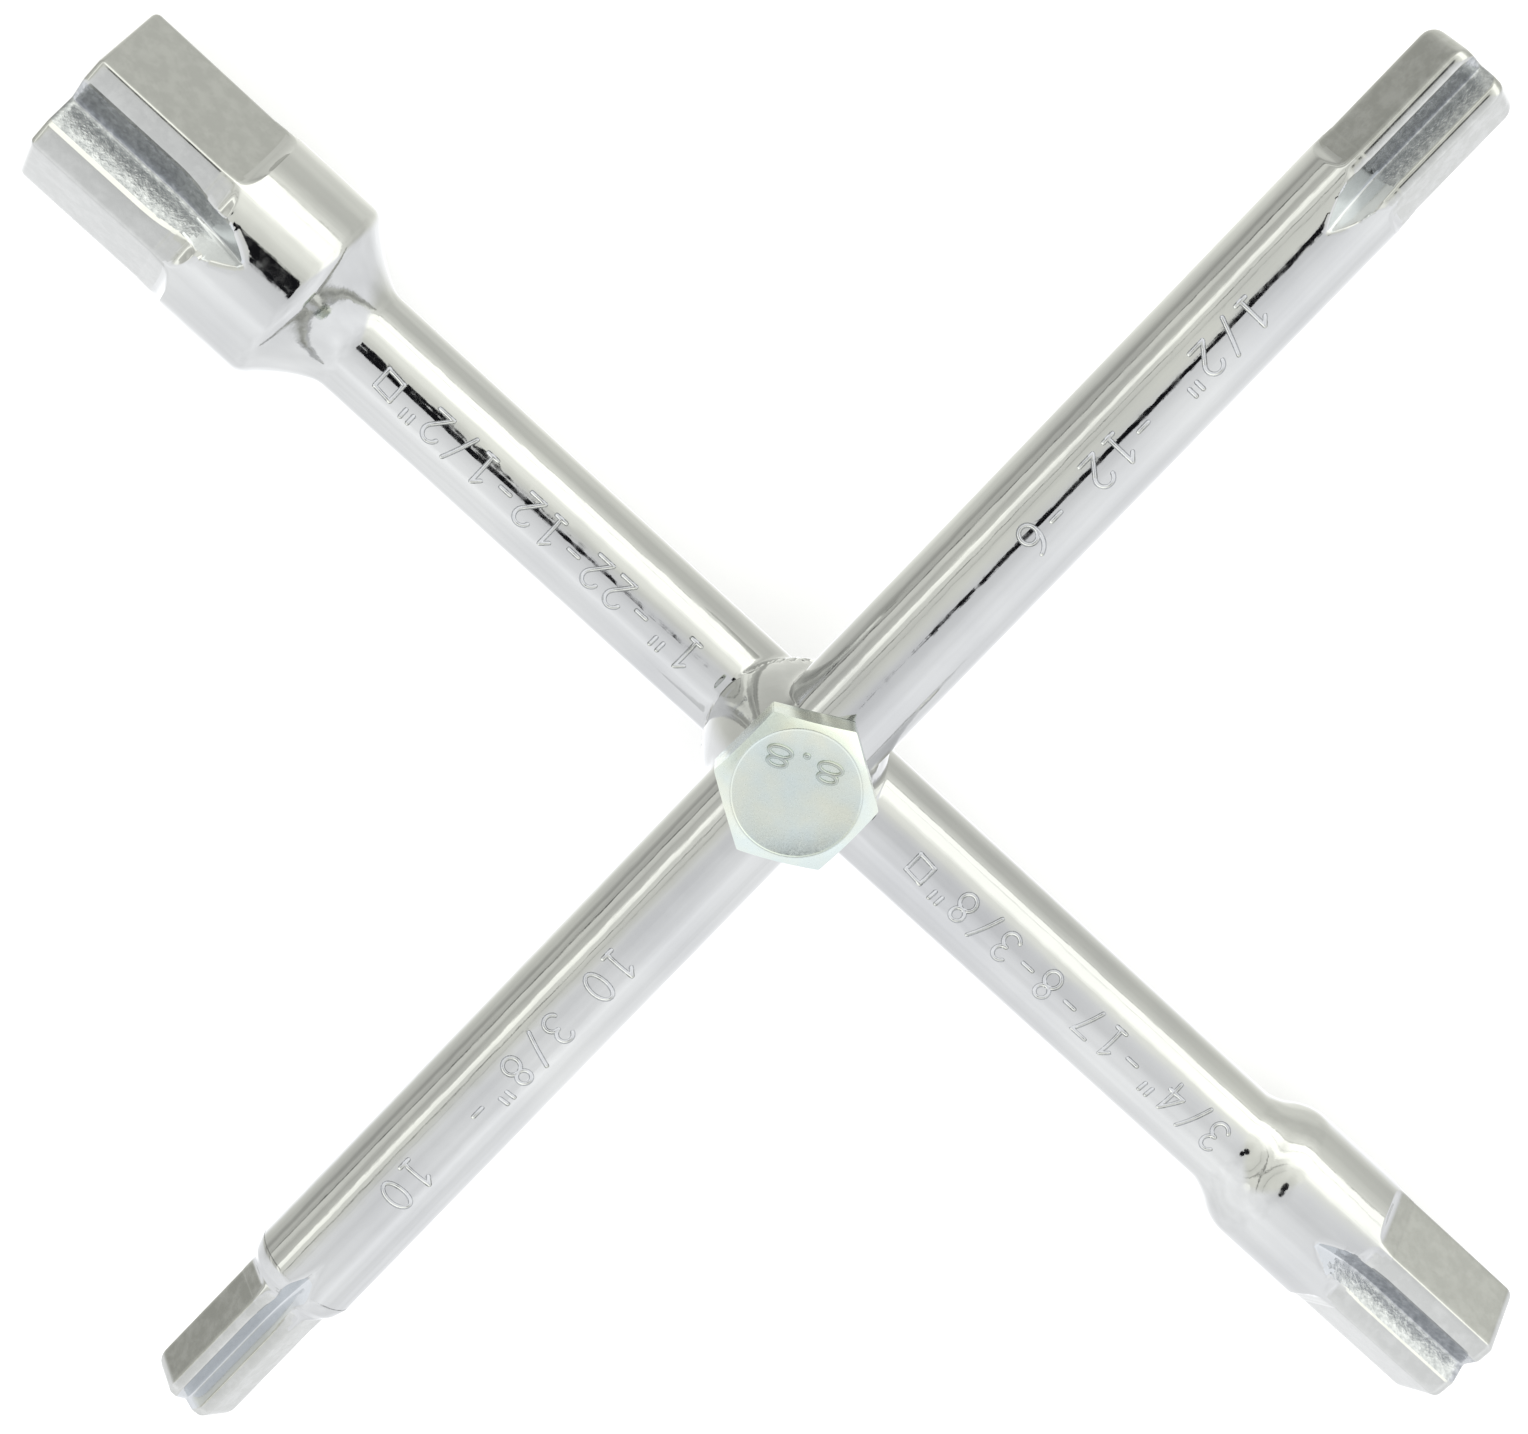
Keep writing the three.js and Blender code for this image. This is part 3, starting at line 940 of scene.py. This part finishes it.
NEAR = [
    (-90, 1.2), (-60, 0.98), (-46, 0.86), (-30, 0.74), (-24, 0.58), (-19, 0.46), (-15, 0.5),
    (-12, 0.66), (-1.4, 0.6), (-0.8, 0.15), (0.4, 0.15), (1.2, 0.95), (9, 0.86), (15, 0.62),
    (20, 0.7), (27, 0.78), (29, 1.55), (36, 1.4), (38, 0.95), (45.2, 0.98), (45.8, 0.25),
    (46.6, 0.25), (47.4, 0.92), (56, 0.86), (56.4, 0.6), (57, 0.6), (57.4, 0.9), (74, 0.9),
    (90, 0.88),
]
BRIGHT_TINT = (0.99, 1.0, 1.02)
GREY_TINT = (1.0, 1.008, 0.94)

# The dark openings overhead, as (direction, size), and how far their edges wander.
OPENINGS = [((-0.025, 0.04, 0.999), 0.145), ((0.05, -0.11, 0.993), 0.16)]
RAGGED = 0.11
OPENING_COLOR = (0.01, 0.01, 0.012)

# How far the tent's creases shift its bands, in degrees, and how much its brightness varies.
CREASES = 3
CLOUDS = (0.93, 1.07)


def studio_light():
    """A white tent as the world: bright on one side, greyer on the side that the camera leans
    to, with lamp bands, thin seams, and ragged dark openings overhead."""
    world = bpy.data.worlds.new("tent")
    bpy.context.scene.world = world
    world.use_nodes = True
    tree = world.node_tree
    nodes, links = tree.nodes, tree.links

    def math_node(operation, *values):
        made = nodes.new("ShaderNodeMath")
        made.operation = operation
        for socket, value in zip(made.inputs, values):
            if isinstance(value, bpy.types.NodeSocket):
                links.new(value, socket)
            else:
                socket.default_value = value
        return made.outputs[0]

    def dot(vector, direction):
        made = nodes.new("ShaderNodeVectorMath")
        made.operation = "DOT_PRODUCT"
        links.new(vector, made.inputs[0])
        made.inputs[1].default_value = direction
        return made.outputs["Value"]

    def mix(factor, first, second):
        made = nodes.new("ShaderNodeMix")
        made.data_type = "RGBA"
        links.new(factor, made.inputs[0])
        for socket, value in ((made.inputs[6], first), (made.inputs[7], second)):
            if isinstance(value, bpy.types.NodeSocket):
                links.new(value, socket)
            else:
                socket.default_value = (*value, 1)
        return made.outputs[2]

    def noise(scale, detail):
        made = nodes.new("ShaderNodeTexNoise")
        links.new(direction, made.inputs["Vector"])
        made.inputs["Scale"].default_value = scale
        made.inputs["Detail"].default_value = detail
        return made.outputs["Fac"]

    direction = nodes.new("ShaderNodeTexCoord").outputs["Generated"]
    rise = math_node("ARCSINE", dot(direction, (0, 0, 1)))
    creased = math_node("SUBTRACT", noise(9, 3), 0.5)
    elevation = math_node("ADD", math_node("MULTIPLY", rise, 180 / math.pi),
                          math_node("MULTIPLY", creased, CREASES))
    lean = dot(direction, (*LEAN, 0))

    def by_elevation(stops, tint):
        ramp = nodes.new("ShaderNodeValToRGB")
        share = math_node("ADD", math_node("MULTIPLY", elevation, 1 / 180), 0.5)
        links.new(share, ramp.inputs[0])
        elements = ramp.color_ramp.elements
        for place, _ in stops[1:-1]:
            elements.new(place / 180 + 0.5)
        for element, (_, level) in zip(elements, stops):
            element.color = (*(level * shade for shade in tint), 1)
        return ramp.outputs["Color"]

    def between(value, low, high):
        made = nodes.new("ShaderNodeMapRange")
        made.interpolation_type = "SMOOTHSTEP"
        links.new(value, made.inputs["Value"])
        made.inputs["From Min"].default_value = low
        made.inputs["From Max"].default_value = high
        return made.outputs["Result"]

    turn = between(dot(direction, (*TURN, 0)), -0.25, 0.25)
    grey = mix(turn, by_elevation(FAR, GREY_TINT), by_elevation(NEAR, GREY_TINT))
    color = mix(between(lean, -0.1, 0.2), by_elevation(BRIGHT, BRIGHT_TINT), grey)

    ragged = math_node("MULTIPLY", noise(26, 4), RAGGED)
    for middle, size in OPENINGS:
        away = nodes.new("ShaderNodeVectorMath")
        away.operation = "DISTANCE"
        links.new(direction, away.inputs[0])
        away.inputs[1].default_value = middle
        reach = math_node("ADD", away.outputs["Value"], ragged)
        color = mix(math_node("LESS_THAN", reach, size), color, OPENING_COLOR)

    clouds = nodes.new("ShaderNodeMapRange")
    links.new(noise(2.6, 3), clouds.inputs["Value"])
    clouds.inputs["From Min"].default_value = 0.3
    clouds.inputs["From Max"].default_value = 0.7
    clouds.inputs["To Min"].default_value, clouds.inputs["To Max"].default_value = CLOUDS
    background = nodes["Background"]
    links.new(color, background.inputs["Color"])
    links.new(clouds.outputs["Result"], background.inputs["Strength"])


LAMP_PLACE = (-0.2, 0.2, 1.3)
LAMP_SIZE = 1.6
LAMP_POWER = 9


def lamp():
    """A large soft lamp overhead, which lifts the floor to white and isn't seen in the chrome."""
    light = bpy.data.lights.new("soft_lamp", "AREA")
    light.shape = "DISK"
    light.size = LAMP_SIZE
    light.energy = LAMP_POWER
    holder = bpy.data.objects.new("soft_lamp", light)
    holder.location = LAMP_PLACE
    holder.rotation_mode = "QUATERNION"
    holder.rotation_quaternion = holder.location.to_track_quat("Z", "Y")
    holder.visible_glossy = False
    bpy.context.scene.collection.objects.link(holder)


FLOOR_SIZE = 40
FLOOR_GAP = 0.2
FLOOR_GLOW = 0.75


def floor():
    """A plain pale floor just under the 22 mm head, which is the lowest part of the tool."""
    level = CAD_BOX[0].z - FLOOR_GAP * MM
    bpy.ops.mesh.primitive_plane_add(size=FLOOR_SIZE, location=(0, 0, level))
    plane = bpy.context.object
    plane.name = "pale_floor"
    paint = Paint("pale_floor", Roughness=0.9, Emission_Strength=FLOOR_GLOW, Specular_IOR_Level=0.0)
    tone = paint.blend(paint.noise(3, 2), (0.6, 0.6, 0.6), (0.61, 0.61, 0.61))
    paint.link(tone, "Base Color")
    paint.link(tone, "Emission Color")
    plane.data.materials.append(paint.material)
    plane.visible_glossy = False


# The camera's place and aim, in millimetres and degrees from the pivot.
CAMERA_DISTANCE = 404.3
CAMERA_TILT = 14.08
CAMERA_BEARING = -44.94
CAMERA_AIM = (5.6, -0.5)
PICTURE_UP_BEARING = -46.85
FOCAL_LENGTH = 78.97
SENSOR_WIDTH = 36


def camera():
    """Nearly overhead, leaning over the corner between the 22 mm and the 12 mm arm."""
    tilt, bearing = math.radians(CAMERA_TILT), math.radians(CAMERA_BEARING)
    flat = CAMERA_DISTANCE * math.sin(tilt)
    eye = Vector((flat * math.cos(bearing), flat * math.sin(bearing),
                  PIVOT_Z + CAMERA_DISTANCE * math.cos(tilt)))
    aim = Vector((*CAMERA_AIM, PIVOT_Z))
    forward = (aim - eye).normalized()
    rise = math.radians(PICTURE_UP_BEARING)
    up = Vector((math.cos(rise), math.sin(rise), 0))
    up = (up - up.dot(forward) * forward).normalized()
    right = forward.cross(up)
    view = Matrix((right, up, -forward)).transposed().to_4x4()
    view.translation = eye * MM
    lens = bpy.data.cameras.new("camera")
    lens.lens = FOCAL_LENGTH
    lens.sensor_width = SENSOR_WIDTH
    lens.clip_start = 0.01
    holder = bpy.data.objects.new("camera", lens)
    holder.matrix_world = view
    bpy.context.scene.collection.objects.link(holder)
    bpy.context.scene.camera = holder


# ---- Assembly --------------------------------------------------------------------------------

camera()
studio_light()
lamp()
floor()
bpy.context.scene.view_settings.view_transform = "Standard"

groove_skin = forged_chrome()
engraved_skin = engraved_chrome()
smooth_skin = smooth_chrome()
rear_flats = milled_chrome("rear_flats", (1, 0.2, 0.2), (0.56, 0.565, 0.55))
rear_polish = chrome("rear_chrome", (0.03, 1, 1))
rear_skins = [rear_polish, groove_skin, rear_flats, engraved_skin, smooth_skin]
rear = bar_piece("rear_key_bar", ARM_22, ARM_17, -1, THREADED_HOLE, rear_skins)
engrave(rear, "3/4\"-17-8-3/8\"#", -73, -19, 1)
engrave(rear, "1\"-22-12-1/2\"#", 16.5, 67.5, 1)
shade(rear)
settle(rear, Matrix.Translation((0, 0, REAR_AXIS_Z * MM)), "rear_bar", "bar_chrome", "rear_bar")

front_flats = milled_chrome("front_flats", (0.2, 1, 0.2), (0.545, 0.55, 0.53))
front_polish = chrome("front_chrome", (1, 0.03, 1))
front_skins = [front_polish, groove_skin, front_flats, engraved_skin, smooth_skin]
front = bar_piece("front_key_bar", ARM_12, ARM_10, 1, RUNNING_HOLE, front_skins)
engrave(front, "1/2\" -12 -6", -76, -37, -1)
engrave(front, " 10 3/8\"-  10", 26, 72.8, -1)
shade(front)
across = Matrix.Rotation(math.radians(-90), 4, "Z")
place = Matrix.Translation((0, 0, FRONT_AXIS_Z * MM)) @ across
settle(front, place, "front_bar", "bar_chrome", "front_bar")

# The second zinc is darker: painted shade on the raised strength mark.
bolt = bolt_piece([zinc("zinc_plating"), zinc("zinc_marks_painted_shade", RAISED_ZINC_SHADE)])
shade(bolt)
settle(bolt, Matrix.Identity(4), "rear_bar", "fastener_zinc", "pivot_bolt")
